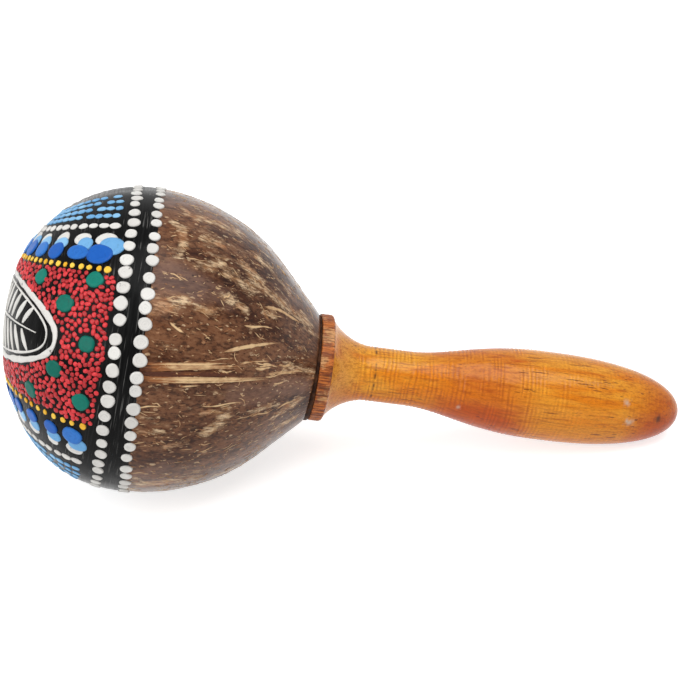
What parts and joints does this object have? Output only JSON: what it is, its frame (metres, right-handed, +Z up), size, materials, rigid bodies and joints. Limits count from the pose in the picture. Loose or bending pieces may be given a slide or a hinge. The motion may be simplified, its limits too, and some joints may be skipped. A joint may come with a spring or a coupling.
{
  "type": "coconut shell shaker",
  "caption": "Hand shaker: a hollow coconut shell with a dot-painted crown on a turned wooden handle, holding loose dry seeds that rattle.",
  "frame": {"origin": "on the ground plane, under the middle of the shaker as it lies at rest", "axes": "+X along the shaker towards the butt of the handle, +Z up, -X towards the crown of the shell"},
  "size_m": [0.2244, 0.0994, 0.0996],
  "materials": {
    "shell": "satin",
    "handle_wood": "gloss",
    "glue": "satin",
    "seed": "satin",
    "paint_black": "gloss",
    "paint_white": "gloss",
    "paint_red": "gloss",
    "paint_green": "gloss",
    "paint_yellow": "gloss",
    "paint_blue": "gloss",
    "paint_light_blue": "gloss"
  },
  "bodies": {
    "body": {"coconut_shell": "shell", "handle": "handle_wood", "glue_bead": "glue"},
    "seed_01": {"rattle_seed_01": "seed"},
    "seed_02": {"rattle_seed_02": "seed"},
    "seed_03": {"rattle_seed_03": "seed"},
    "seed_04": {"rattle_seed_04": "seed"},
    "seed_05": {"rattle_seed_05": "seed"},
    "seed_06": {"rattle_seed_06": "seed"},
    "seed_07": {"rattle_seed_07": "seed"},
    "seed_08": {"rattle_seed_08": "seed"},
    "seed_09": {"rattle_seed_09": "seed"},
    "seed_10": {"rattle_seed_10": "seed"},
    "seed_11": {"rattle_seed_11": "seed"},
    "seed_12": {"rattle_seed_12": "seed"},
    "seed_13": {"rattle_seed_13": "seed"},
    "seed_14": {"rattle_seed_14": "seed"},
    "seed_15": {"rattle_seed_15": "seed"},
    "seed_16": {"rattle_seed_16": "seed"},
    "seed_17": {"rattle_seed_17": "seed"},
    "seed_18": {"rattle_seed_18": "seed"},
    "seed_19": {"rattle_seed_19": "seed"},
    "seed_20": {"rattle_seed_20": "seed"},
    "seed_21": {"rattle_seed_21": "seed"},
    "seed_22": {"rattle_seed_22": "seed"},
    "seed_23": {"rattle_seed_23": "seed"},
    "seed_24": {"rattle_seed_24": "seed"}
  },
  "joints": [
    {"name": "seed_01_flight", "type": "slide", "parent": "body", "child": "seed_01", "axis": [0, 0, 1], "range_m": [0, 0.077]},
    {"name": "seed_02_flight", "type": "slide", "parent": "body", "child": "seed_02", "axis": [0, 0, 1], "range_m": [0, 0.0785]},
    {"name": "seed_03_flight", "type": "slide", "parent": "body", "child": "seed_03", "axis": [0, 0, 1], "range_m": [0, 0.0785]},
    {"name": "seed_04_flight", "type": "slide", "parent": "body", "child": "seed_04", "axis": [0, 0, 1], "range_m": [0, 0.076]},
    {"name": "seed_05_flight", "type": "slide", "parent": "body", "child": "seed_05", "axis": [0, 0, 1], "range_m": [0, 0.079]},
    {"name": "seed_06_flight", "type": "slide", "parent": "body", "child": "seed_06", "axis": [0, 0, 1], "range_m": [0, 0.082]},
    {"name": "seed_07_flight", "type": "slide", "parent": "body", "child": "seed_07", "axis": [0, 0, 1], "range_m": [0, 0.083]},
    {"name": "seed_08_flight", "type": "slide", "parent": "body", "child": "seed_08", "axis": [0, 0, 1], "range_m": [0, 0.0815]},
    {"name": "seed_09_flight", "type": "slide", "parent": "body", "child": "seed_09", "axis": [0, 0, 1], "range_m": [0, 0.078]},
    {"name": "seed_10_flight", "type": "slide", "parent": "body", "child": "seed_10", "axis": [0, 0, 1], "range_m": [0, 0.0785]},
    {"name": "seed_11_flight", "type": "slide", "parent": "body", "child": "seed_11", "axis": [0, 0, 1], "range_m": [0, 0.0825]},
    {"name": "seed_12_flight", "type": "slide", "parent": "body", "child": "seed_12", "axis": [0, 0, 1], "range_m": [0, 0.084]},
    {"name": "seed_13_flight", "type": "slide", "parent": "body", "child": "seed_13", "axis": [0, 0, 1], "range_m": [0, 0.0835]},
    {"name": "seed_14_flight", "type": "slide", "parent": "body", "child": "seed_14", "axis": [0, 0, 1], "range_m": [0, 0.081]},
    {"name": "seed_15_flight", "type": "slide", "parent": "body", "child": "seed_15", "axis": [0, 0, 1], "range_m": [0, 0.0765]},
    {"name": "seed_16_flight", "type": "slide", "parent": "body", "child": "seed_16", "axis": [0, 0, 1], "range_m": [0, 0.079]},
    {"name": "seed_17_flight", "type": "slide", "parent": "body", "child": "seed_17", "axis": [0, 0, 1], "range_m": [0, 0.082]},
    {"name": "seed_18_flight", "type": "slide", "parent": "body", "child": "seed_18", "axis": [0, 0, 1], "range_m": [0, 0.083]},
    {"name": "seed_19_flight", "type": "slide", "parent": "body", "child": "seed_19", "axis": [0, 0, 1], "range_m": [0, 0.0815]},
    {"name": "seed_20_flight", "type": "slide", "parent": "body", "child": "seed_20", "axis": [0, 0, 1], "range_m": [0, 0.078]},
    {"name": "seed_21_flight", "type": "slide", "parent": "body", "child": "seed_21", "axis": [0, 0, 1], "range_m": [0, 0.077]},
    {"name": "seed_22_flight", "type": "slide", "parent": "body", "child": "seed_22", "axis": [0, 0, 1], "range_m": [0, 0.0785]},
    {"name": "seed_23_flight", "type": "slide", "parent": "body", "child": "seed_23", "axis": [0, 0, 1], "range_m": [0, 0.0785]},
    {"name": "seed_24_flight", "type": "slide", "parent": "body", "child": "seed_24", "axis": [0, 0, 1], "range_m": [0, 0.076]}
  ]
}
